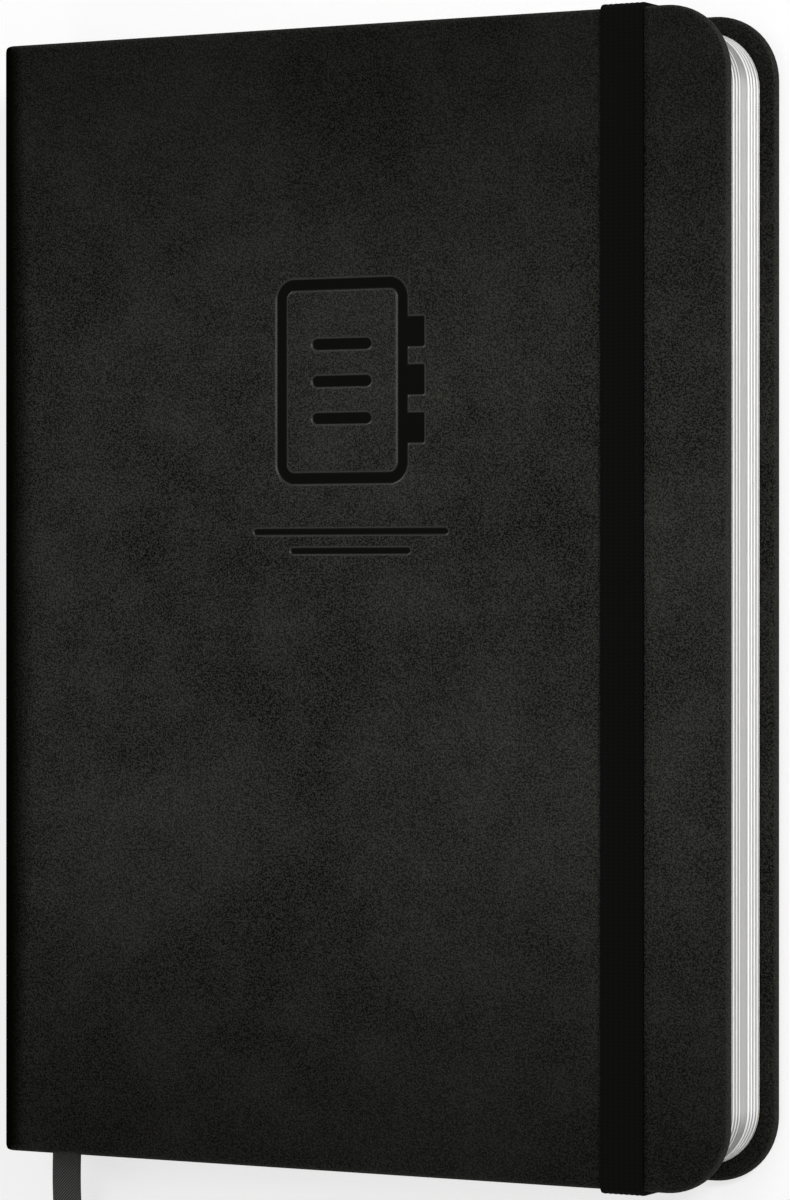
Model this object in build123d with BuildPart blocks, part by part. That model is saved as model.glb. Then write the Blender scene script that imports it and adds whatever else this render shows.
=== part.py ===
from build123d import *
from math import radians, tan
import os

# A hardcover address book lying on its back cover: spine at -X, fore-edge at +X, head at +Y,
# front cover up. The origin is on the table, under the middle of the covers. Sizes are in millimetres.

# Leaves: folded sections with rounded fore-edge corners, sewn through the fold
page_width = 148.0
page_height = 210.0
page_corner_radius = 11.0
sections_per_half = 4
section_thickness = 2.3
fold_radius = 0.8
endpaper_thickness = 0.2
thread_diameter = 0.5
thread_clearance = 0.1
thread_inset = 15.0
mull_thickness = 0.3
mull_inset = 10.0
mull_clearance = 0.1

# Case: three boards in a leatherette skin that bends round the spine edges
board_thickness = 1.6
skin_thickness = 0.4
head_square = 3.0
fore_square = 3.2
hollow_gap = 2.5
cover_corner_radius = 12.5
cover_edge_radius = 0.6
spine_edge_radius = 2.5
spine_corner_radius = 2.0
turn_in_width = 13.0
pastedown_margin = 4.5

# Elastic band over the front cover, with its tails let into the back board
band_width = 8.6
band_thickness = 0.8
band_fore_distance = 21.0
band_tail_length = 18.0
band_corner_radius = 0.7
band_clearance = 0.2

# Ribbon marker between the two halves of the text block, with a free tail at the tail edge
ribbon_width = 6.5
ribbon_thickness = 0.3
ribbon_inset = 0.4
ribbon_clearance = 0.2
ribbon_table_gap = 0.1
ribbon_straight_run = 14.5
ribbon_droop_run = 13.2
ribbon_table_run = 14.3

# Debossed index-book emblem with two plain rules under it
deboss_depth = 0.2
emblem_width = 32.0
emblem_height = 39.0
emblem_head_distance = 47.5
emblem_line = 2.4
emblem_corner_radius = 4.0
tab_depth = 3.6
tab_height = 6.0
tab_pitch = 9.0
tab_count = 3
bar_width = 13.0
bar_pitch = 7.0
bar_count = 3
rule_thickness = 1.5
rule_pitch = 3.6
rule_lengths = (42.0, 26.0)
rule_head_distance = 94.6

# Places that follow from those sizes
cover_thickness = skin_thickness + board_thickness
cover_height = page_height + 2 * head_square
cover_width = cover_thickness + hollow_gap + mull_thickness + page_width + fore_square
half_thickness = cover_thickness + 2 * endpaper_thickness + sections_per_half * section_thickness
book_thickness = 2 * half_thickness
half_height = cover_height / 2
spine_x = -cover_width / 2
fore_x = cover_width / 2
joint_x = spine_x + spine_edge_radius
page_back_x = fore_x - fore_square - page_width
first_section_z = cover_thickness + 2 * endpaper_thickness
spine_board_height = cover_height - 2 * skin_thickness - spine_corner_radius
band_x = fore_x - band_fore_distance
band_tail_z = cover_thickness - band_thickness
ribbon_x = page_back_x + ribbon_inset

# Each cover is drawn inwards from its outer face
back_face = Plane.XY
front_face = Plane(origin=(0, 0, book_thickness), x_dir=(1, 0, 0), z_dir=(0, 0, -1))


def outline(left, right, height, radius):
    """A rectangle with square corners on its left and round ones on its right."""
    with BuildSketch() as sketch:
        with Locations(((left + right) / 2, 0)):
            Rectangle(right - left, height)
        fillet(sketch.vertices().group_by(Axis.X)[-1], radius)
    return sketch.sketch


def finish(piece, name):
    piece.part.label = name
    export_step(piece.part, f"parts/{name}.step")


os.makedirs("parts", exist_ok=True)

# Boards, thinned along their three free edges where the skin turns in
board_outline = outline(
    joint_x,
    fore_x - skin_thickness,
    cover_height - 2 * skin_thickness,
    cover_corner_radius - skin_thickness,
)


def cover_board(face):
    with BuildPart() as board:
        with BuildSketch(face.offset(skin_thickness)):
            add(board_outline)
        extrude(amount=board_thickness - skin_thickness)
        with BuildSketch(face.offset(board_thickness)):
            with Locations(((joint_x + fore_x - turn_in_width) / 2, 0)):
                Rectangle(fore_x - turn_in_width - joint_x, cover_height - 2 * turn_in_width)
        extrude(amount=skin_thickness)
    return board


front_board = cover_board(front_face)
finish(front_board, "front_board")

# Channels on the back cover's inner side take the two tails of the elastic band
with BuildPart() as band_channels:
    with BuildSketch(back_face.offset(band_tail_z)):
        with GridLocations(0, cover_height - band_tail_length, 1, 2):
            with Locations((band_x, 0)):
                Rectangle(band_width + 2 * band_clearance, band_tail_length)
    extrude(amount=band_thickness)

back_board = cover_board(back_face)
with BuildPart() as grooved_back_board:
    add(back_board.part)
    add(band_channels.part, mode=Mode.SUBTRACT)
finish(grooved_back_board, "back_board")

with BuildPart() as spine_board:
    with BuildSketch(Plane.YZ.offset(spine_x + skin_thickness)):
        with Locations((0, half_thickness)):
            Rectangle(spine_board_height, book_thickness - 2 * spine_edge_radius)
    extrude(amount=board_thickness)
finish(spine_board, "spine_board")

# Skins: the outer face, the rim round the free edges and the turn-in on the inner side
skin_outline = outline(joint_x, fore_x, cover_height, cover_corner_radius)


def cover_skin(face, board):
    with BuildPart() as skin:
        with BuildSketch(face):
            add(skin_outline)
        extrude(amount=cover_thickness)
        rims = skin.edges().group_by(Axis.Z)[0] + skin.edges().group_by(Axis.Z)[-1]
        fillet(rims.filter_by(lambda edge: edge.center().X > joint_x + skin_thickness), cover_edge_radius)
        add(board.part, mode=Mode.SUBTRACT)
    return skin


plain_front_skin = cover_skin(front_face, front_board)
emblem_y = half_height - emblem_head_distance - emblem_height / 2
card_width = emblem_width - tab_depth
card_x = -tab_depth / 2
rule_y = half_height - rule_head_distance - rule_thickness / 2

with BuildPart() as front_cover_skin:
    add(plain_front_skin.part)
    with BuildSketch(front_face):
        with Locations((card_x, -emblem_y)):
            RectangleRounded(card_width, emblem_height, emblem_corner_radius)
            RectangleRounded(
                card_width - 2 * emblem_line,
                emblem_height - 2 * emblem_line,
                emblem_corner_radius - emblem_line,
                mode=Mode.SUBTRACT,
            )
            with GridLocations(0, bar_pitch, 1, bar_count):
                SlotOverall(bar_width, emblem_line)
        with Locations((emblem_width / 2 - tab_depth, -emblem_y)):
            with GridLocations(0, tab_pitch, 1, tab_count):
                Rectangle(tab_depth, tab_height, align=(Align.MIN, Align.CENTER))
        for number, length in enumerate(rule_lengths):
            with Locations((0, -rule_y + number * rule_pitch)):
                SlotOverall(length, rule_thickness)
    extrude(amount=deboss_depth, mode=Mode.SUBTRACT)
finish(front_cover_skin, "front_cover_skin")

plain_back_skin = cover_skin(back_face, back_board)
with BuildPart() as back_cover_skin:
    add(plain_back_skin.part)
    add(band_channels.part, mode=Mode.SUBTRACT)
finish(back_cover_skin, "back_cover_skin")

# Spine skin and the two quarter-round joints, trimmed to the case's small spine corners
with BuildPart() as case_block:
    with BuildSketch() as spine_side:
        with Locations((spine_x, 0)):
            Rectangle(2 * spine_edge_radius, cover_height, align=(Align.MIN, Align.CENTER))
        fillet(spine_side.vertices().group_by(Axis.X)[0], spine_corner_radius)
    extrude(amount=book_thickness)

with BuildPart() as spine_skin:
    with BuildSketch(Plane.YZ.offset(spine_x)):
        with Locations((0, half_thickness)):
            Rectangle(cover_height, book_thickness - 2 * spine_edge_radius)
    extrude(amount=cover_thickness)
    add(spine_board.part, mode=Mode.SUBTRACT)
    add(case_block.part, mode=Mode.INTERSECT)
finish(spine_skin, "spine_skin")


def joint_strip(height, start_angle):
    """The skin that bends a quarter turn about a line at this height, just inside the spine edge."""
    inner_radius = spine_edge_radius - skin_thickness
    with BuildPart() as strip:
        with BuildSketch(Plane.XZ.offset(-half_height)):
            with BuildLine():
                outer = CenterArc((joint_x, height), spine_edge_radius, start_angle, 90)
                inner = CenterArc((joint_x, height), inner_radius, start_angle, 90)
                Line(outer @ 0, inner @ 0)
                Line(outer @ 1, inner @ 1)
            make_face()
        extrude(amount=cover_height)
        add(case_block.part, mode=Mode.INTERSECT)
    return strip


finish(joint_strip(book_thickness - spine_edge_radius, 90), "front_joint")
finish(joint_strip(spine_edge_radius, 180), "back_joint")

# Endpapers: a pastedown glued inside each board and a flyleaf beside it
pastedown_outline = outline(
    joint_x,
    fore_x - pastedown_margin,
    cover_height - 2 * pastedown_margin,
    cover_corner_radius - pastedown_margin,
)
leaf_outline = outline(page_back_x, page_back_x + page_width, page_height, page_corner_radius)


def endpaper(face, depth, shape):
    with BuildPart() as sheet:
        with BuildSketch(face.offset(depth)):
            add(shape)
        extrude(amount=endpaper_thickness)
    return sheet


for side, face in (("front", front_face), ("back", back_face)):
    finish(endpaper(face, cover_thickness, pastedown_outline), f"{side}_pastedown")
    finish(endpaper(face, cover_thickness + endpaper_thickness, leaf_outline), f"{side}_flyleaf")

# Text block: sections counted from the back cover, each with its thread and its strip of mull
section_count = 2 * sections_per_half
thread_length = page_height - 2 * thread_inset
mull_height = page_height - 2 * mull_inset
thread_groove = thread_diameter + 2 * thread_clearance
thread_x = page_back_x + thread_groove / 2

for number in range(1, section_count + 1):
    low = first_section_z + (number - 1) * section_thickness
    middle = low + section_thickness / 2

    with BuildPart() as section:
        with BuildSketch(Plane.XY.offset(low)):
            add(leaf_outline)
        extrude(amount=section_thickness)
        fillet(section.edges().filter_by(Axis.Y).group_by(Axis.X)[0], fold_radius)
        with Locations((page_back_x, 0, middle)):
            Box(
                2 * thread_groove,
                thread_length + 2 * thread_clearance,
                thread_groove,
                mode=Mode.SUBTRACT,
            )
        if number == sections_per_half + 1:
            with Locations((ribbon_x + ribbon_width / 2, 0, low)):
                Box(
                    ribbon_width + 2 * ribbon_clearance,
                    page_height,
                    2 * (ribbon_thickness + ribbon_clearance),
                    mode=Mode.SUBTRACT,
                )
    finish(section, f"section_{number}")

    with BuildPart() as thread:
        with BuildSketch(Plane.XZ.offset(-thread_length / 2)):
            with Locations((thread_x, middle)):
                Circle(thread_diameter / 2)
        extrude(amount=thread_length)
    finish(thread, f"thread_{number}")

    with BuildPart() as mull:
        with Locations((page_back_x - mull_thickness / 2, 0, middle)):
            Box(mull_thickness, mull_height, section_thickness - 2 * mull_clearance)
    finish(mull, f"mull_{number}")

# Elastic band: the run over the front cover, a leg down each end and a tail inside the back cover
with BuildPart() as band_strand:
    with BuildSketch(Plane.YZ.offset(band_x - band_width / 2)):
        with Locations((0, book_thickness)):
            Rectangle(cover_height + 2 * band_thickness, band_thickness, align=(Align.CENTER, Align.MIN))
    extrude(amount=band_width)
    fillet(band_strand.edges().filter_by(Axis.X).group_by(Axis.Z)[-1], band_corner_radius)
finish(band_strand, "band_strand")

for end, sign in (("head", 1), ("tail", -1)):
    with BuildPart() as leg:
        with BuildSketch(Plane.XY.offset(band_tail_z)):
            with Locations((band_x, sign * (half_height + band_thickness / 2))):
                Rectangle(band_width, band_thickness)
        extrude(amount=book_thickness - band_tail_z)
        outer_edge = leg.edges().filter_by(Axis.X).group_by(Axis.Z)[0].sort_by(Axis.Y)[-1 if sign > 0 else 0]
        fillet(outer_edge, band_corner_radius)
    finish(leg, f"band_{end}_leg")

    with BuildPart() as tail:
        with BuildSketch(Plane.XY.offset(band_tail_z)):
            with Locations((band_x, sign * (half_height - band_tail_length / 2))):
                Rectangle(band_width, band_tail_length)
        extrude(amount=band_thickness)
    finish(tail, f"band_{end}_tail")

# Ribbon marker: flat between the halves, then a free tail that droops to the table past the tail edge
ribbon_z = half_thickness + ribbon_thickness / 2
ribbon_rest_z = ribbon_table_gap + ribbon_thickness / 2

with BuildPart() as ribbon:
    with Locations((ribbon_x + ribbon_width / 2, 0, ribbon_z)):
        Box(ribbon_width, page_height, ribbon_thickness)
finish(ribbon, "ribbon")

exit_y = -page_height / 2
droop_y = exit_y - ribbon_straight_run
landing_y = droop_y - ribbon_droop_run
ribbon_route = [
    Vector(exit_y, ribbon_z),
    Vector(droop_y, ribbon_z),
    Vector(landing_y, ribbon_rest_z),
    Vector(landing_y - ribbon_table_run, ribbon_rest_z),
]
ribbon_radii = []
for before, corner, after in zip(ribbon_route, ribbon_route[1:], ribbon_route[2:]):
    turn = (corner - before).get_angle(after - corner)
    shorter_run = min((corner - before).length, (after - corner).length)
    ribbon_radii.append(0.45 * shorter_run / tan(radians(turn / 2)))
print("ribbon bend radii", [round(radius, 1) for radius in ribbon_radii])

with BuildPart() as ribbon_tail:
    with BuildSketch(Plane.YZ.offset(ribbon_x)):
        with BuildLine() as route:
            FilletPolyline(*ribbon_route, radius=ribbon_radii)
        trace(route.edges(), line_width=ribbon_thickness)
    extrude(amount=ribbon_width)
finish(ribbon_tail, "ribbon_tail")
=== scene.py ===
import bmesh
import bpy
import numpy as np
from math import cos, pi, sin
from mathutils import Matrix, Vector


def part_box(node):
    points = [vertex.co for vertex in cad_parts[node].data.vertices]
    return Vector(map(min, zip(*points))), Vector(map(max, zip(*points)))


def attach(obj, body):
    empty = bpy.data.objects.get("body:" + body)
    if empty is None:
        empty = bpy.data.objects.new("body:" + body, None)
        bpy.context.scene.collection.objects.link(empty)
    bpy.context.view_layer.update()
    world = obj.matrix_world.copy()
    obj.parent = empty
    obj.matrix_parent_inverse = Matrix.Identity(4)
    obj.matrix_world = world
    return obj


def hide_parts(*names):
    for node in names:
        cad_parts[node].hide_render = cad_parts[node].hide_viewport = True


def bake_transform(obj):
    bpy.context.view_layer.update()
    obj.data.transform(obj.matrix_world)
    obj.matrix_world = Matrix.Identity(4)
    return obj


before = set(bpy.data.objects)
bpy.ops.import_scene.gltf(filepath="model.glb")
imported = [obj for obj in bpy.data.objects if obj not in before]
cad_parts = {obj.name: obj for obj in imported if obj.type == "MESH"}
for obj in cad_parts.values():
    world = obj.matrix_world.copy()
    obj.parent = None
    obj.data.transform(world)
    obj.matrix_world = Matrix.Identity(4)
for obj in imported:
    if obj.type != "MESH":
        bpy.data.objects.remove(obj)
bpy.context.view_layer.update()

# Case boards: two covers and a spine strip of pressed grey millboard, knife-cut and glued to
# the back of the skin. They keep their solids and show only where the skin is open.


class Tone:
    """One socket of a finish. Arithmetic on it adds Math nodes, node() adds any other node."""

    def __init__(self, tree, socket=None):
        self.tree = tree
        self.socket = socket

    def node(self, kind, settings=None, sockets=None, output=0):
        made = self.tree.nodes.new(kind)
        for key, value in (settings or {}).items():
            setattr(made, key, value)
        for key, value in (sockets or {}).items():
            if isinstance(value, Tone):
                self.tree.links.new(value.socket, made.inputs[key])
            else:
                made.inputs[key].default_value = value
        return Tone(self.tree, made.outputs[output])

    def math(self, operation, first, second=0.0):
        return self.node("ShaderNodeMath", {"operation": operation}, {0: first, 1: second})

    def __add__(self, other):
        return self.math("ADD", self, other)

    def __radd__(self, other):
        return self.math("ADD", other, self)

    def __sub__(self, other):
        return self.math("SUBTRACT", self, other)

    def __rsub__(self, other):
        return self.math("SUBTRACT", other, self)

    def __mul__(self, other):
        return self.math("MULTIPLY", self, other)

    def __rmul__(self, other):
        return self.math("MULTIPLY", other, self)

    def __abs__(self):
        return self.math("ABSOLUTE", self)

    def part(self, axis):
        """The X, Y or Z of a place."""
        return self.node("ShaderNodeSeparateXYZ", None, {0: self}, axis)

    def step(self, low, high):
        """A soft step from 0 at low to 1 at high."""
        ends = {"Value": self, "From Min": low, "From Max": high}
        return self.node("ShaderNodeMapRange", {"interpolation_type": "SMOOTHSTEP"}, ends)

    def mix(self, first, second):
        """The first colour where this value is 0, the second where it is 1."""
        sides = {0: self, 6: first, 7: second}
        return self.node("ShaderNodeMix", {"data_type": "RGBA"}, sides, 2)

    def noise(self, scale, detail=2.0):
        return self.node("ShaderNodeTexNoise", None, {"Vector": self, "Scale": scale, "Detail": detail})

    def bump(self, strength, depth):
        heights = {"Strength": strength, "Distance": depth, "Height": self}
        return self.node("ShaderNodeBump", None, heights, "Normal")


def new_finish(name, **fixed):
    """A material, a loose tone to start its nodes from, and a function that links tones to it."""
    finish = bpy.data.materials.new(name)
    finish.use_nodes = True
    tree = finish.node_tree
    shader = tree.nodes["Principled BSDF"]
    for key, value in fixed.items():
        shader.inputs[key.replace("_", " ")].default_value = value

    def link(**tones):
        for key, tone in tones.items():
            tree.links.new(tone.socket, shader.inputs[key.replace("_", " ")])

    return finish, Tone(tree), link


def rgb(red, green, blue):
    """A colour in linear light from its screen values of 0 to 255."""
    shares = (red / 255, green / 255, blue / 255)
    linear = [s / 12.92 if s <= 0.04045 else ((s + 0.055) / 1.055) ** 2.4 for s in shares]
    return (*linear, 1.0)


def dress(finish, *nodes):
    for node in nodes:
        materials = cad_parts[node].data.materials
        materials.clear()
        materials.append(finish)


board_dark = rgb(112, 106, 97)
board_light = rgb(152, 145, 134)
greyboard, start, link = new_finish("greyboard", Roughness=0.92)
place = start.node("ShaderNodeTexCoord", output="Object")
fibres = place.noise(900.0, 6.0)
link(Base_Color=fibres.step(0.3, 0.7).mix(board_dark, board_light))
link(Normal=fibres.bump(0.4, 0.0002))
dress(greyboard, "front_board", "back_board", "spine_board")

# Case skin: one sheet of black soft-touch leatherette glued over the boards, its edges turned in
# and its joints left free to bend. A hot die presses in an index-card emblem and two rules.
MM = 0.001
front_low, front_high = (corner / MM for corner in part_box("front_cover_skin"))
spine_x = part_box("spine_skin")[0].x / MM
book_thickness = front_high.z
book_middle = book_thickness / 2
cover_thickness = front_high.z - front_low.z
half_height = front_high.y
fore_x = front_high.x
joint_x = front_low.x
joint_radius = joint_x - spine_x
joint_z = book_thickness - joint_radius
cover_corner = 12.5
band_x = 57.0
band_slot = 9.0
band_slot_depth = 1.2

turn_in = 6.0
turn_in_dip = 0.1
glue_row = 4.3
cover_rim_start = 1.4
rim_radius = 0.6
# Width of the lighter band on the covers' edges, partly wear and partly painted highlight.
worn_highlight_width = 0.7
joint_rim_start = 1.8
joint_rim_inset = 0.15
joint_outer_roll = (0.95, 0.5)
joint_inner_roll = 0.35
joint_skin = 0.9
spine_rim_start = 3.2
spine_outer_roll = (2.0, 1.5)
spine_inner_roll = (0.3, 0.06)
roll_steps = 7
joint_steps = 11
corner_steps = 17
spine_lead = 4.0
joint_lead = 1.5
cover_lead = 0.9
slot_wall = 0.02
tolerance = 0.01
flat_turn = pi / 2 - tolerance

emblem_x = -1.8
emblem_y = 41.0
card_size = (28.4, 39.0)
card_corner = 4.0
card_line = 2.4
bar_size = (13.0, card_line)
bar_pitch = 7.0
tab_x = 14.0
tab_size = (4.0, 6.0)
tab_corner = 0.5
tab_pitch = 9.0
rules = ((12.65, 42.0), (9.05, 26.0))
rule_thickness = 1.5
pressed_depth = 0.22
pressed_shoulder = 0.4
pressed_patch = (-23.0, 23.0, 7.0, 62.5)
pressed_cell = 0.25

skin_dark = rgb(4, 4, 3)
skin_light = rgb(56, 56, 53)
worn_highlight_colour = rgb(48, 48, 45)
pressed_colour = rgb(14, 14, 12)
# Painted shade on the skin: how far it reaches towards the ends and the spine fold, and how dark.
end_shade = (30.0, 120.0)
end_painted_shade = 0.62
fold_shade = (1.6, 9.0)
joint_shade = (6.0, 10.0)
shoulder_gloss = 1.9
face_gloss = 0.04


def quarter(radius_in, radius_down, top, falling):
    """Points of a quarter round on the rim: inset from the edge, and depth under the outer face."""
    points = []
    for turn in np.linspace(0, pi / 2, roll_steps):
        if falling:
            points.append((radius_in * (1 - sin(turn)), top + radius_down * (1 - cos(turn))))
        else:
            points.append((radius_in * (1 - cos(turn)), top + radius_down * sin(turn)))
    return points


cover_rim = [(cover_rim_start, 0.0)]
cover_rim += quarter(rim_radius, rim_radius, 0.0, True)
cover_rim += quarter(rim_radius, rim_radius, cover_thickness - rim_radius, False)
cover_rim += [(glue_row, cover_thickness), (turn_in, cover_thickness - turn_in_dip)]
joint_roll = quarter(*joint_outer_roll, 0.0, True)
joint_roll += quarter(joint_inner_roll, joint_inner_roll, joint_skin - joint_inner_roll, False)
joint_rim = [(joint_rim_start, 0.0)]
joint_rim += [(joint_rim_inset + inset, depth) for inset, depth in joint_roll]
joint_rim += [(glue_row, joint_skin), (turn_in, joint_skin)]
spine_inside = cover_thickness + spine_inner_roll[1]
spine_rim = [(spine_rim_start, 0.0)]
spine_rim += quarter(*spine_outer_roll, 0.0, True)
spine_rim += quarter(*spine_inner_roll, cover_thickness, False)
spine_rim += [(glue_row, spine_inside), (turn_in, spine_inside)]


def rim_shape(turn):
    """The rim's section where the skin has turned this far, from 0 on the spine to 90 degrees."""
    share = turn / (pi / 4)
    if share <= 1:
        return np.array(spine_rim) * (1 - share) + np.array(joint_rim) * share
    return np.array(joint_rim) * (2 - share) + np.array(cover_rim) * (share - 1)


def rim_stations():
    """Stations from the middle of the spine along the tail edge to the middle of the fore edge."""
    stations = []
    for z in (book_middle, book_middle + spine_lead, joint_z - joint_lead):
        stations.append((spine_x, -half_height, z, 0.0, -1.0, 0.0))
    for turn in np.linspace(0, pi / 2, joint_steps):
        x = joint_x - joint_radius * cos(turn)
        z = joint_z + joint_radius * sin(turn)
        stations.append((x, -half_height, z, 0.0, -1.0, turn))
    slot_low = band_x - band_slot / 2
    slot_high = band_x + band_slot / 2
    for x in (joint_x + cover_lead, slot_low - slot_wall, slot_low, slot_high, slot_high + slot_wall):
        stations.append((x, -half_height, book_thickness, 0.0, -1.0, pi / 2))
    for angle in np.linspace(-pi / 2, 0, corner_steps):
        x = fore_x - cover_corner + cover_corner * cos(angle)
        y = cover_corner - half_height + cover_corner * sin(angle)
        stations.append((x, y, book_thickness, cos(angle), sin(angle), pi / 2))
    return stations


def rim_mesh(is_front):
    """Points, faces, painted highlight and wear of a cover's rim, joint, half spine and flat face's edge.
    """
    tail_side = rim_stations()
    head_side = [(x, -y, z, out_x, -out_y, turn) for x, y, z, out_x, out_y, turn in reversed(tail_side)]
    stations = tail_side + head_side
    count = len(stations)
    columns = len(cover_rim)
    points = []
    wear_highlights = []
    for x, y, z, out_x, out_y, turn in stations:
        in_slot = not is_front and abs(x - band_x) < band_slot / 2 + tolerance
        for inset, depth in rim_shape(turn):
            if in_slot:
                depth = min(depth, band_slot_depth)
            down = depth * sin(turn)
            points.append((x - inset * out_x + depth * cos(turn), y - inset * out_y, z - down))
            wear_highlights.append(max(0.0, 1 - inset / worn_highlight_width) if turn > flat_turn else 0.0)

    faces = []
    for i in range(count - 1):
        for j in range(columns - 1):
            corner = i * columns + j
            faces.append((corner, corner + 1, corner + columns + 1, corner + columns))
    # The spine and the joint are spanned from tail to head, outside and inside.
    bent = sum(turn < flat_turn for *_, turn in tail_side) + 1
    inside = columns - 1
    for i in range(bent):
        tail = i * columns
        head = (count - 1 - i) * columns
        faces.append((tail, tail + columns, head - columns, head))
        faces.append((head + inside, head - columns + inside, tail + columns + inside, tail + inside))
    edge = [i * columns for i in range(bent, count - bent)]
    return points, faces, wear_highlights, edge


def rounded_distance(x, y, centre_x, centre_y, size, corner):
    """Distance outside a rectangle with round corners, below zero inside it."""
    over_x = np.abs(x - centre_x) - size[0] / 2 + corner
    over_y = np.abs(y - centre_y) - size[1] / 2 + corner
    outside = np.hypot(np.maximum(over_x, 0), np.maximum(over_y, 0))
    return outside + np.minimum(np.maximum(over_x, over_y), 0) - corner


def pressed_share(x, y):
    """How far the die has pressed the skin in, from 0 to 1."""
    inner_size = (card_size[0] - 2 * card_line, card_size[1] - 2 * card_line)
    card = rounded_distance(x, y, emblem_x, emblem_y, card_size, card_corner)
    window = rounded_distance(x, y, emblem_x, emblem_y, inner_size, card_corner - card_line)
    nearest = np.maximum(card, -window)
    for row in (-1, 0, 1):
        bar = rounded_distance(x, y, emblem_x, emblem_y + row * bar_pitch, bar_size, card_line / 2)
        tab = rounded_distance(x, y, tab_x, emblem_y + row * tab_pitch, tab_size, tab_corner)
        nearest = np.minimum(nearest, np.minimum(bar, tab))
    for rule_y, length in rules:
        rule = rounded_distance(x, y, 0, rule_y, (length, rule_thickness), rule_thickness / 2)
        nearest = np.minimum(nearest, rule)
    share = np.clip(0.5 - nearest / pressed_shoulder, 0, 1)
    return share * share * (3 - 2 * share)


def pressed_mesh(first):
    """Points, faces, pressed shares and edge of a fine grid under the die, numbered from first."""
    low_x, high_x, low_y, high_y = pressed_patch
    across = np.arange(low_x, high_x + tolerance, pressed_cell)
    along = np.arange(low_y, high_y + tolerance, pressed_cell)
    grid_x, grid_y = np.meshgrid(across, along)
    share = pressed_share(grid_x, grid_y)
    height = book_thickness - pressed_depth * share
    points = list(zip(grid_x.ravel(), grid_y.ravel(), height.ravel()))
    rows = (first + np.arange(share.size)).reshape(share.shape).tolist()
    faces = []
    for lower, upper in zip(rows, rows[1:]):
        for i in range(len(lower) - 1):
            faces.append((lower[i], lower[i + 1], upper[i + 1], upper[i]))
    edge = rows[0] + [row[-1] for row in rows[1:]]
    edge += rows[-1][-2::-1] + [row[0] for row in rows[-2:0:-1]]
    return points, faces, share.ravel().tolist(), edge


def new_piece(name, points, faces, finishes, places=None):
    """A smooth mesh from points in millimetres, with the places that its finishes read."""
    points = np.array(points, float)
    mesh = bpy.data.meshes.new(name)
    mesh.from_pydata(points * MM, [], faces)
    mesh.shade_smooth()
    place_values = mesh.attributes.new("rest_place", "FLOAT_VECTOR", "POINT")
    values = points if places is None else np.array(places, float)
    place_values.data.foreach_set("vector", values.astype(np.float32).ravel())
    for finish in finishes:
        mesh.materials.append(finish)
    piece = bpy.data.objects.new(name, mesh)
    bpy.context.scene.collection.objects.link(piece)
    return piece


def rest_place(start):
    """Where a point lies on the closed book, or along its own strip, in millimetres."""
    return start.node("ShaderNodeAttribute", {"attribute_name": "rest_place"}, output="Vector")


def fill_face(piece, loops, normal):
    """Fill the flat face of a cover between its loops of edges."""
    filled = bmesh.new()
    filled.from_mesh(piece.data)
    filled.verts.ensure_lookup_table()
    edges = []
    for loop in loops:
        for one, other in zip(loop, loop[1:] + loop[:1]):
            edges.append(filled.edges.get((filled.verts[one], filled.verts[other])))
    made = bmesh.ops.triangle_fill(filled, use_beauty=True, edges=edges, normal=normal)
    for face in made["geom"]:
        if isinstance(face, bmesh.types.BMFace):
            face.smooth = False
    filled.to_mesh(piece.data)
    filled.free()


def skin_half(name, is_front, finish):
    """One cover with its joint and its half of the spine. The back one is the front one turned over."""
    points, faces, wear_highlights, edge = rim_mesh(is_front)
    shares = [0.0] * len(points)
    loops = [edge]
    if is_front:
        patch_points, patch_faces, patch_shares, patch_edge = pressed_mesh(len(points))
        points += patch_points
        faces += patch_faces
        shares += patch_shares
        wear_highlights += [0.0] * len(patch_points)
        loops.append(patch_edge)
    else:
        points = [(x, y, book_thickness - z) for x, y, z in points]
        faces = [tuple(reversed(face)) for face in faces]
    piece = new_piece(name, points, faces, [finish])
    fill_face(piece, loops, Vector((0, 0, 1 if is_front else -1)))
    for mark, values in (("pressed", shares), ("worn_edge_highlight", wear_highlights)):
        attribute = piece.data.attributes.new(mark, "FLOAT", "POINT")
        attribute.data.foreach_set("value", np.array(values, np.float32))
    return piece


leatherette, start, link = new_finish("leatherette", Specular_IOR_Level=0.0, Coat_Roughness=0.3)
place = rest_place(start)
pressed = start.node("ShaderNodeAttribute", {"attribute_name": "pressed"}, output="Fac")
worn_edge_highlight = start.node("ShaderNodeAttribute", {"attribute_name": "worn_edge_highlight"}, output="Fac")
clouds = place.noise(0.028, 3.0)
smudges = place.noise(0.11, 4.0)
grain = place.noise(3.2, 3.0)
pebbles = place.node("ShaderNodeTexVoronoi", None, {"Vector": place, "Scale": 2.8}, "Distance")
mottle = clouds.step(0.3, 0.72) * 0.18 + smudges.step(0.35, 0.7) * 0.1 + grain.step(0.38, 0.64) * 0.72
# Painted shade: darker towards the head and tail, and black at the spine fold, which gets no coat.
to_ends = abs(place.part("Y")).step(*end_shade)
near_spine = 1 - place.part("X").step(spine_x + fold_shade[0], spine_x + fold_shade[1])
at_fold = near_spine * abs(place.part("Z") - book_middle).step(*joint_shade)
painted_shade = start.math("MAXIMUM", to_ends * end_painted_shade, at_fold)
shaded_mottle = mottle * (1 - painted_shade)
colour = shaded_mottle.mix(skin_dark, skin_light)
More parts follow.
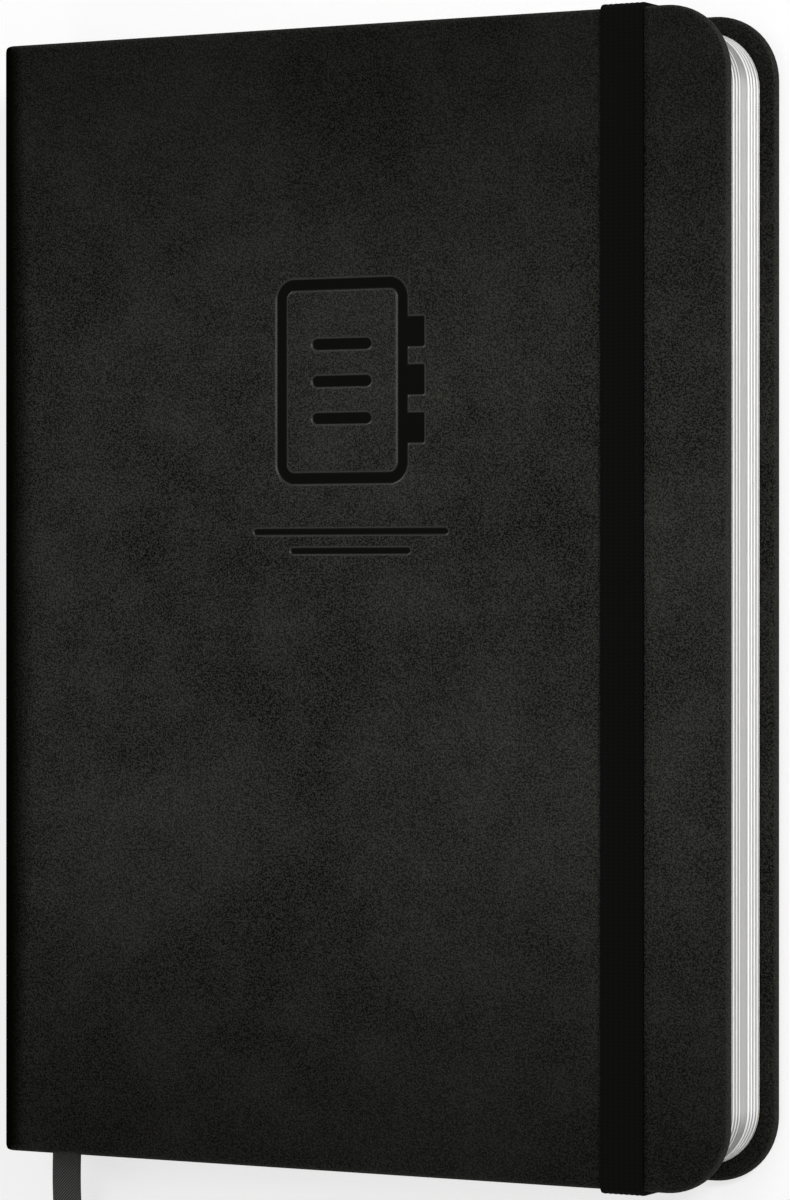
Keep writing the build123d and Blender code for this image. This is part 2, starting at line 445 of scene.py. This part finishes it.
# The covers' rounded edges are lightened: partly rubbed wear, partly a painted highlight.
colour = (worn_edge_highlight * grain.step(0.2, 0.6)).mix(colour, worn_highlight_colour)
link(Base_Color=pressed.mix(colour, pressed_colour))
link(Roughness=0.66 - 0.08 * grain - 0.14 * pressed)
shoulder_coat = pressed * (1 - pressed) * shoulder_gloss
link(Coat_Weight=shoulder_coat + (1 - at_fold) * (1 - pressed) * face_gloss)
relief = (grain * 0.6 + pebbles * 0.7) * (1 - pressed * 0.75)
link(Normal=relief.bump(0.9, 0.0003))

front_case = skin_half("front_case_skin", True, leatherette)
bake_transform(front_case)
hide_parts("front_cover_skin", "front_joint", "spine_skin")

back_case = skin_half("back_case_skin", False, leatherette)
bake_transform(back_case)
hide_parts("back_cover_skin", "back_joint")

# Endpapers: a pastedown glued inside each cover over the turned-in skin, and a flyleaf beside it,
# both of heavy uncoated ivory paper.
ivory_light = rgb(238, 234, 223)
ivory_dark = rgb(228, 222, 208)
endpaper, start, link = new_finish("endpaper", Roughness=0.88, Specular_IOR_Level=0.25)
place = start.node("ShaderNodeTexCoord", output="Object")
fibres = place.noise(1400.0, 5.0)
flecks = place.noise(260.0, 2.0)
tint = fibres.step(0.25, 0.75) * 0.7 + flecks.step(0.55, 0.8) * 0.3
link(Base_Color=tint.mix(ivory_light, ivory_dark))
link(Normal=fibres.bump(0.25, 0.00005))
dress(endpaper, "front_pastedown", "back_pastedown", "front_flyleaf", "back_flyleaf")

# Leaves: folded sections of white writing paper, trimmed flush, with die-cut round corners. The
# edges step in and out by a hair from sheet to sheet. The open pages are ruled in pale grey, in
# entries of four lines with a column beside them.
page_low, page_high = (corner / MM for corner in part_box("section_1"))
page_back_x = page_low.x
page_fore_x = page_high.x
page_half_height = page_high.y
page_corner = 11.0
page_corner_x = page_fore_x - page_corner
page_corner_y = page_half_height - page_corner
section_thickness = page_high.z - page_low.z
sections_per_half = 4
fold_radius = 0.8
back_round = 0.9
half_block = sections_per_half * section_thickness
first_leaf_z = page_low.z
last_leaf_z = first_leaf_z + 2 * half_block
sheets_per_half = 80
bundles_per_half = 7
edge_step = 0.05
bundle_slope = 0.16
bundle_pitch = half_block / bundles_per_half
edge_grey = rgb(138, 138, 137)
edge_white = rgb(253, 253, 251)
page_light = rgb(246, 245, 240)
page_dark = rgb(239, 238, 232)
ink_grey = rgb(150, 153, 156)
grey_low_z = 7.5
grey_high_z = 10.3
grey_blur = 0.2
grey_white = 0.34
sheet_contrast = 0.2
corner_shade_blur = 2.0
corner_shade_lead = 1.0
corner_shade_fade = 5.0
corner_shade_depth = 0.3
ruling_pitch = 7.5
ruling_width = 0.3
ruling_ink = 0.7
ruling_end = 0.2
divider_width = 0.55
lines_per_entry = 4
ruled_half_height = 90.3
gutter_margin = 11.0
column_inset = 34.0
ruled_half_width = 64.0


def back_swell(z):
    """How far the sections' backs stand out towards the spine, most at the middle of the book."""
    return back_round * (1 - ((z - book_middle) / half_block) ** 2)


def page_stations():
    """Outline of a leaf from the fold at the tail, round the fore edge, to the fold at the head."""
    stations = [(page_back_x, -page_half_height, 0.0, -1.0)]
    for angle in np.linspace(-pi / 2, 0, corner_steps):
        x = page_corner_x + page_corner * cos(angle)
        y = page_corner * sin(angle) - page_corner_y
        stations.append((x, y, cos(angle), sin(angle)))
    stations += [(x, -y, out_x, -out_y) for x, y, out_x, out_y in reversed(stations)]
    return stations


def stack_faces(rings, around, first=0, clockwise=False):
    """Faces of a closed stack of rings of points: its sides, ring by ring, and then its two ends."""
    faces = []
    for ring in range(rings - 1):
        for i in range(around):
            corner = first + ring * around + i
            beside = first + ring * around + (i + 1) % around
            faces.append((corner, beside, beside + around, corner + around))
    last = first + (rings - 1) * around
    faces.append(tuple(reversed(range(first, first + around))))
    faces.append(tuple(range(last, last + around)))
    if clockwise:
        faces = [(face[0], *reversed(face[1:])) for face in faces]
    return faces


def leaf_half(name, low_z, seed, finishes):
    """Half the leaves as one stack of trimmed sheets, a level for each sheet's two sides."""
    draws = np.random.default_rng(seed)
    stations = page_stations()
    count = len(stations)
    sheet = half_block / sheets_per_half
    points = []
    levels = []
    for number in range(sheets_per_half):
        through = (number + 0.5) / sheets_per_half * bundles_per_half % 1.0
        trim = bundle_slope * through + edge_step * draws.random()
        levels += [(number * sheet, trim), ((number + 1) * sheet, trim)]
    for rise, trim in levels:
        from_fold = abs(rise % section_thickness - section_thickness / 2)
        over = max(0.0, from_fold - section_thickness / 2 + fold_radius)
        fold = fold_radius - (fold_radius**2 - min(over, fold_radius) ** 2) ** 0.5
        for x, y, out_x, out_y in stations:
            at_fold = fold - back_swell(low_z + rise) if x == page_back_x else 0.0
            points.append((x + at_fold - trim * out_x, y - trim * out_y, low_z + rise))
    faces = stack_faces(len(levels), count)
    piece = new_piece(name, points, faces, finishes)
    for cap in piece.data.polygons[-2:]:
        cap.use_smooth = False
        cap.material_index = 1
    # The last face of each ring is the fold, which shows the paper and not a cut edge.
    for number in range(count - 1, len(faces) - 2, count):
        piece.data.polygons[number].material_index = 1
    ends = np.zeros(2 * len(piece.data.edges), np.int32)
    piece.data.edges.foreach_get("vertices", ends)
    level_of = ends.reshape(-1, 2) // count
    sharp = piece.data.attributes.new("sharp_edge", "BOOLEAN", "EDGE")
    sharp.data.foreach_set("value", level_of[:, 0] == level_of[:, 1])
    return piece


def hairline(distance, width):
    """1 on a printed line of this width, 0 beside it."""
    return 1 - distance.step(width * 0.3, width * 0.7)


leaf_edge, start, link = new_finish("leaf_edge", Roughness=0.9, Specular_IOR_Level=0.2)
place = rest_place(start)
height = place.part("Z")
sheet_lines = start.node("ShaderNodeTexNoise", {"noise_dimensions": "1D"}, {"W": height, "Scale": 4.0})
# Painted shade: grey between the bundles' white lines; lines by the front cover greyer, under its
# overhang.
bundle_wave = start.math("SINE", height * (2 * pi / bundle_pitch))
in_back = 1 - height.step(grey_low_z - grey_blur, grey_low_z + grey_blur)
in_front = height.step(grey_high_z - grey_blur, grey_high_z + grey_blur)
back_lines = in_back * bundle_wave.step(-0.5, 0.25)
middle_grey = (1 - in_back) * (1 - in_front) * grey_white
front_lines = in_front * (bundle_wave.step(0.0, 0.7) * 0.7 + 0.12)
# Painted shade: the leaf edges are greyed towards the round corners.
to_corner = abs(place.part("Y")).step(page_corner_y - corner_shade_lead, page_corner_y + corner_shade_fade)
corner_painted_shade = place.part("X").step(page_corner_x - corner_shade_blur, page_corner_x + corner_shade_blur) * to_corner
white = back_lines + middle_grey + front_lines
white = white + (sheet_lines - 0.5) * sheet_contrast - corner_painted_shade * corner_shade_depth
link(Base_Color=white.mix(edge_grey, edge_white))

ruled_page, start, link = new_finish("ruled_page", Roughness=0.85, Specular_IOR_Level=0.2)
place = rest_place(start)
along = place.part("Y")
from_fold = place.part("X") - page_back_x
fibres = place.noise(1.6, 5.0)
paper = fibres.step(0.2, 0.8).mix(page_light, page_dark)
rule = hairline(start.math("PINGPONG", along, ruling_pitch / 2), ruling_width) * ruling_ink
divider = hairline(start.math("PINGPONG", along, lines_per_entry * ruling_pitch / 2), divider_width)
column = hairline(abs(from_fold - column_inset), ruling_width) * ruling_ink
ink = start.math("MAXIMUM", start.math("MAXIMUM", rule, column), divider)
in_height = 1 - abs(along).step(ruled_half_height, ruled_half_height + ruling_end)
from_centre = abs(from_fold - gutter_margin - ruled_half_width)
in_width = 1 - from_centre.step(ruled_half_width, ruled_half_width + ruling_end)
link(Base_Color=(ink * in_height * in_width).mix(paper, ink_grey))
link(Normal=fibres.bump(0.2, 0.00004))


def sew_in(back_half, front_half, solid):
    """Both halves of a piece stand for the solids of their sections, which are hidden."""
    solids = [f"{solid}_{number}" for number in range(1, 2 * sections_per_half + 1)]
    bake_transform(back_half)
    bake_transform(front_half)
    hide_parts(*solids[:sections_per_half])
    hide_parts(*solids[sections_per_half:])


back_leaves = leaf_half("back_leaves", first_leaf_z, 3, [leaf_edge, ruled_page])
front_leaves = leaf_half("front_leaves", first_leaf_z + half_block, 8, [leaf_edge, ruled_page])
sew_in(back_leaves, front_leaves, "section")

# Mull: a strip of open-weave starched cotton glued over the folds, which holds the sewn sections
# together and lets the back of the leaves flex.
mull_low, mull_high = (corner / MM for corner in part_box("mull_1"))
mull_rows = 24
mull_end_gap = 0.1
mull_middle_gap = 0.9
mull_radians_per_mm = 7.0
cotton_dark = rgb(205, 198, 182)
cotton_light = rgb(232, 227, 214)


def mull_half(name, low_z, high_z, finish):
    """The cloth over half the folds, thin and closed, with rows enough to follow the leaves."""
    corners = [(mull_low.x, mull_low.y), (mull_high.x, mull_low.y)]
    corners += [(mull_high.x, mull_high.y), (mull_low.x, mull_high.y)]
    points = []
    for z in np.linspace(low_z, high_z, mull_rows):
        points += [(x - back_swell(z), y, z) for x, y in corners]
    piece = new_piece(name, points, stack_faces(mull_rows, len(corners)), [finish])
    piece.data.shade_flat()
    return piece


mull, start, link = new_finish("mull", Roughness=0.95, Specular_IOR_Level=0.1)
place = rest_place(start)
weft = start.math("SINE", place.part("Y") * mull_radians_per_mm)
warp = start.math("SINE", place.part("Z") * mull_radians_per_mm)
threads_over = weft * warp
link(Base_Color=threads_over.step(-0.6, 0.6).mix(cotton_dark, cotton_light))
link(Normal=threads_over.bump(0.6, 0.0001))

back_mull = mull_half("back_mull", first_leaf_z + mull_end_gap, book_middle - mull_middle_gap, mull)
front_mull = mull_half("front_mull", book_middle + mull_middle_gap, last_leaf_z - mull_end_gap, mull)
sew_in(back_mull, front_mull, "mull")

# Sewing thread: waxed white linen, two strands twisted together, one run along the fold of each
# section. It lies inside the fold and holds the section's sheets to the mull.
thread_low, thread_high = (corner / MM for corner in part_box("thread_1"))
thread_x = (thread_low.x + thread_high.x) / 2
strand_radius = (thread_high.x - thread_low.x) / 4
twist_pitch = 1.6
strand_sides = 6
strand_rings = 361
linen_dark = rgb(222, 217, 203)
linen_light = rgb(243, 240, 231)


def thread_half(name, first_z, finish):
    """One thread for each section of this half, each of two strands wound round each other."""
    points = []
    faces = []
    for number in range(sections_per_half):
        middle_z = first_z + (number + 0.5) * section_thickness
        middle_x = thread_x - back_swell(middle_z)
        for opposite in (0, pi):
            faces += stack_faces(strand_rings, strand_sides, len(points), clockwise=True)
            for y in np.linspace(thread_low.y, thread_high.y, strand_rings):
                turn = 2 * pi * y / twist_pitch + opposite
                for angle in np.arange(strand_sides) * (2 * pi / strand_sides):
                    x = middle_x + strand_radius * (cos(turn) + cos(angle))
                    z = middle_z + strand_radius * (sin(turn) + sin(angle))
                    points.append((x, y, z))
    return new_piece(name, points, faces, [finish])


linen, start, link = new_finish("sewing_thread", Roughness=0.7, Specular_IOR_Level=0.3)
fibres = rest_place(start).noise(9.0, 3.0)
link(Base_Color=fibres.step(0.3, 0.7).mix(linen_dark, linen_light))
link(Normal=fibres.bump(0.3, 0.00003))

back_threads = thread_half("back_threads", first_leaf_z, linen)
front_threads = thread_half("front_threads", first_leaf_z + half_block, linen)
sew_in(back_threads, front_threads, "thread")

# Ribbon marker: black satin ribbon with a twill weave, glued to the back of the leaves at the head,
# laid between the two halves and left free below the tail edge.
ribbon_low, ribbon_high = (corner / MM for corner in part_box("ribbon"))
ribbon_shift = 0.3
ribbon_x = (ribbon_low.x + ribbon_high.x) / 2 - ribbon_shift
ribbon_z = (ribbon_low.z + ribbon_high.z) / 2
ribbon_width = ribbon_high.x - ribbon_low.x
ribbon_thickness = ribbon_high.z - ribbon_low.z
ribbon_route = ((0.0, -105.0, 11.75), (-0.8, -125.0, 12.3), (-1.2, -135.5, 0.25), (-1.2, -147.0, 0.25))
ribbon_columns = 12
ribbon_rows = 60
body_fullness = 0.62
edge_fullness = 0.5
twill_radians_per_mm = 10.5
satin_dark = rgb(3, 3, 3)
satin_light = rgb(74, 74, 73)


def ribbon_strip(name, line, finish):
    """A flat woven strip along a line of points, with a fuller edge where the weft turns back."""
    upper = []
    for column in range(ribbon_columns + 1):
        across = 2 * column / ribbon_columns - 1
        fullness = body_fullness + (1 - body_fullness) * abs(across) ** 6
        if abs(across) == 1:
            fullness = edge_fullness
        upper.append((across * ribbon_width / 2, fullness * ribbon_thickness / 2))
    section = upper + [(x, -lift) for x, lift in reversed(upper)]
    points = []
    places = []
    travelled = 0.0
    for i, (middle_x, y, z) in enumerate(line):
        before = line[max(i - 1, 0)]
        after = line[min(i + 1, len(line) - 1)]
        run = np.array(after[1:]) - np.array(before[1:])
        run = run / np.hypot(*run)
        travelled += float(np.hypot(y - before[1], z - before[2]))
        for x, lift in section:
            points.append((middle_x + x, y + lift * run[1], z - lift * run[0]))
            places.append((x, travelled, lift))
    faces = stack_faces(len(line), len(section))
    return new_piece(name, points, faces, [finish], places)


satin, start, link = new_finish("ribbon_satin", Specular_IOR_Level=0.15, Roughness=0.5)
place = rest_place(start)
twill = start.math("SINE", (place.part("X") + place.part("Y")) * twill_radians_per_mm)
ridge = twill.step(-0.4, 0.8) * 0.8 + place.noise(7.0, 3.0) * 0.2
link(Base_Color=ridge.mix(satin_dark, satin_light))
link(Normal=ridge.bump(0.7, 0.00012))

route_curve = bpy.data.curves.new("ribbon_route", "CURVE")
route_curve.dimensions = "3D"
route_curve.resolution_u = 16
route_spline = route_curve.splines.new("NURBS")
route_spline.points.add(len(ribbon_route) - 1)
for control, (aside, y, z) in zip(route_spline.points, ribbon_route):
    control.co = ((ribbon_x + aside) * MM, y * MM, z * MM, 1.0)
route_spline.order_u = 3
route_spline.use_endpoint_u = True
route_object = bpy.data.objects.new("ribbon_route", route_curve)
bpy.context.scene.collection.objects.link(route_object)
route_mesh = bpy.data.meshes.new_from_object(route_object)
route_points = [tuple(vertex.co) for vertex in route_mesh.vertices]
bpy.data.objects.remove(route_object)
bpy.data.meshes.remove(route_mesh)

flat_line = [(ribbon_x, y, ribbon_z) for y in np.linspace(ribbon_high.y, ribbon_low.y, ribbon_rows)]
ribbon_inside = ribbon_strip("ribbon_between_leaves", flat_line, satin)
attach(ribbon_inside, "leaves_4")
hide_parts("ribbon")

free_line = [(x / MM, y / MM, z / MM) for x, y, z in route_points]
ribbon_free = ribbon_strip("ribbon_free_tail", free_line, satin)
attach(ribbon_free, "leaves_4")
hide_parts("ribbon_tail")

# Elastic band: flat braided black elastic with ribs along it, glued by its ends into slots inside
# the back cover and stretched over the head, the front cover and the tail.
band_low, band_high = (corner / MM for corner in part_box("band_strand"))
glued_low, glued_high = (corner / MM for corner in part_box("band_head_tail"))
band_width = band_high.x - band_low.x
band_thickness = band_high.z - band_low.z
band_ribs = 8
points_per_rib = 8
rib_depth = 0.09
rib_fullness = 0.7
glued_run = 9.0
low_bend = 0.6
low_bend_steps = 9
leg_steps = 26
high_bend = 1.0
high_bend_steps = 11
strand_steps = 40
picks_radians_per_mm = 8.5
picks_sway = 1.3
# Painted shade along both edges of the band:
selvedge_width = 0.55
selvedge_rim = 0.1
selvedge_shade = 0.4
braid_dark = rgb(2, 2, 2)
braid_light = rgb(13, 13, 12)


def band_line():
    """The band's middle line from its head end over to its tail end: y, z and where its outside faces."""
    slot_z = (glued_low.z + glued_high.z) / 2
    leg_y = half_height + band_thickness / 2
    strand_z = book_thickness + band_thickness / 2
    line = [(glued_low.y, slot_z, -pi / 2), (glued_low.y + glued_run, slot_z, -pi / 2)]
    for angle in np.linspace(-pi / 2, 0, low_bend_steps):
        y = leg_y - low_bend + low_bend * cos(angle)
        line.append((y, slot_z + low_bend + low_bend * sin(angle), angle))
    for z in np.linspace(slot_z + low_bend, strand_z - high_bend, leg_steps)[1:-1]:
        line.append((leg_y, z, 0.0))
    for angle in np.linspace(0, pi / 2, high_bend_steps):
        y = leg_y - high_bend + high_bend * cos(angle)
        line.append((y, strand_z - high_bend + high_bend * sin(angle), angle))
    for y in np.linspace(leg_y - high_bend, 0, strand_steps)[1:-1]:
        line.append((y, strand_z, pi / 2))
    line += [(-y, z, pi - angle) for y, z, angle in reversed(line)]
    return line


def band_section():
    """Across the band: ribs on both sides, as (across, out) points in order round it."""
    outer = []
    for rib in range(band_ribs):
        for point in range(points_per_rib):
            share = point / points_per_rib
            crown = sin(pi * share) ** rib_fullness
            across = (rib + share) / band_ribs - 0.5
            outer.append((across * band_width, band_thickness / 2 - rib_depth * (1 - crown)))
    outer.append((band_width / 2, band_thickness / 2 - rib_depth))
    return outer + [(across, -out) for across, out in reversed(outer)]


def band_strip(name, finish):
    """The ribbed section swept along the band's line."""
    line = band_line()
    section = band_section()
    points = []
    places = []
    travelled = 0.0
    for i, (y, z, angle) in enumerate(line):
        before = line[max(i - 1, 0)]
        travelled += float(np.hypot(y - before[0], z - before[1]))
        for across, out in section:
            points.append((band_x + across, y + out * cos(angle), z + out * sin(angle)))
            places.append((across, travelled, out))
    faces = stack_faces(len(line), len(section), clockwise=True)
    return new_piece(name, points, faces, [finish], places)


braid, start, link = new_finish("elastic_braid", Specular_IOR_Level=0.03, Roughness=0.75)
place = rest_place(start)
across = place.part("X")
rib_phase = across * (2 * pi * band_ribs / band_width)
sway = start.math("SINE", rib_phase) * picks_sway
picks = start.math("SINE", place.part("Y") * picks_radians_per_mm + sway)
crowns = start.math("COSINE", rib_phase).step(-1.0, 0.4) * 0.4 + 0.6
yarn = picks.step(-0.8, 0.8) * 0.3 + place.noise(5.0, 3.0) * 0.7
# Painted shade: the braid is darker along both selvedges.
selvedge_painted_shade = abs(across).step(band_width / 2 - selvedge_width, band_width / 2 - selvedge_rim)
lightness = yarn * crowns * (1 - selvedge_painted_shade * selvedge_shade)
link(Base_Color=lightness.mix(braid_dark, braid_light))
link(Normal=yarn.bump(0.3, 0.00006))

band = band_strip("elastic_band", braid)
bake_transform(band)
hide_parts("band_strand", "band_head_leg", "band_tail_leg", "band_head_tail", "band_tail_tail")

# Floor: a pale seamless sweep under the book, which fades to white for the eye and keeps the
# book's soft shadow.
floor_reach = 4.0
near_glow = 0.66
glow_rise = (0.3, 0.8)
floor_dark = rgb(248, 248, 248)
floor_light = rgb(250, 250, 250)


def eye_rays(start):
    """1 for the rays that the eye follows, straight, mirrored or through glass, and 0 for all others."""
    camera_ray = start.node("ShaderNodeLightPath", output="Is Camera Ray")
    glossy_ray = start.node("ShaderNodeLightPath", output="Is Glossy Ray")
    clear_ray = start.node("ShaderNodeLightPath", output="Is Transmission Ray")
    return start.math("MINIMUM", camera_ray + glossy_ray + clear_ray, 1.0)


floor_mesh = bpy.data.meshes.new("floor")
corners = [(-floor_reach, -floor_reach, 0), (floor_reach, -floor_reach, 0)]
corners += [(floor_reach, floor_reach, 0), (-floor_reach, floor_reach, 0)]
floor_mesh.from_pydata(corners, [], [(0, 1, 2, 3)])
floor = bpy.data.objects.new("floor", floor_mesh)
bpy.context.scene.collection.objects.link(floor)

floor_finish, start, link = new_finish("floor_paper", Roughness=1.0, Specular_IOR_Level=0.0)
place = start.node("ShaderNodeTexCoord", output="Object")
link(Base_Color=place.noise(3.0).mix(floor_dark, floor_light))
from_book = place.node("ShaderNodeVectorMath", {"operation": "LENGTH"}, {0: place}, "Value")
glow_share = near_glow + (1 - near_glow) * from_book.step(*glow_rise)
glow = start.node("ShaderNodeEmission", None, {"Color": (1, 1, 1, 1), "Strength": 1.0})
tree = floor_finish.node_tree
paper = Tone(tree, tree.nodes["Principled BSDF"].outputs[0])
lifted = start.node("ShaderNodeMixShader", None, {0: eye_rays(start) * glow_share, 1: paper, 2: glow})
tree.links.new(lifted.socket, tree.nodes["Material Output"].inputs["Surface"])
floor_mesh.materials.append(floor_finish)

# Light: a white room with five soft panels, all turned to the book. A small one hangs over the
# head and a small strong one off the corner of head and fore edge. Weaker ones at the fore edge,
# the tail and the spine fill the other sides.
room_light = 0.34
world = bpy.data.worlds.new("white_room")
bpy.context.scene.world = world
world.use_nodes = True
tree = world.node_tree
room = tree.nodes["Background"]
room.inputs["Color"].default_value = (1, 1, 1, 1)
strength = room_light + (1 - room_light) * eye_rays(Tone(tree))
tree.links.new(strength.socket, room.inputs["Strength"])


def panel(name, place, size, watts):
    """A soft lamp, placed and sized in metres and turned to the book."""
    lamp = bpy.data.lights.new(name, "AREA")
    lamp.shape = "RECTANGLE"
    lamp.size = size[0]
    lamp.size_y = size[1]
    lamp.energy = watts
    holder = bpy.data.objects.new(name, lamp)
    bpy.context.scene.collection.objects.link(holder)
    holder.location = place
    holder.rotation_mode = "QUATERNION"
    holder.rotation_quaternion = (-Vector(place)).to_track_quat("-Z", "Y")


panel("head_panel", (0.15, 0.27, 1.3), (0.36, 0.36), 2.9)
panel("corner_panel", (0.75, 0.5, 0.7), (0.3, 0.3), 7.0)
panel("fore_edge_panel", (1.1, 0.15, 0.5), (1.0, 1.4), 2.0)
panel("tail_panel", (-0.25, -1.0, 0.5), (0.9, 0.9), 2.8)
panel("spine_panel", (-0.9, 0.55, 0.6), (0.45, 0.45), 2.8)

# Camera: over the front cover and towards the fore edge, on a long lens, with the head of the
# book at the top of the picture.
camera_place = Vector((0.44140, 0.00196, 0.82043))
camera_aim = Vector((0.00339, -0.00025, 0.0116))
camera_data = bpy.data.cameras.new("camera")
camera_data.sensor_width = 36.0
camera_data.lens = 145.34
camera_data.clip_start = 0.01
camera_data.clip_end = 20.0
camera = bpy.data.objects.new("camera", camera_data)
bpy.context.scene.collection.objects.link(camera)
backward = (camera_place - camera_aim).normalized()
right = Vector((0, 1, 0)).cross(backward).normalized()
up = backward.cross(right)
turned = Matrix((right, up, backward)).transposed().to_4x4()
camera.matrix_world = Matrix.Translation(camera_place) @ turned
bpy.context.scene.camera = camera
bpy.context.scene.view_settings.view_transform = "Standard"
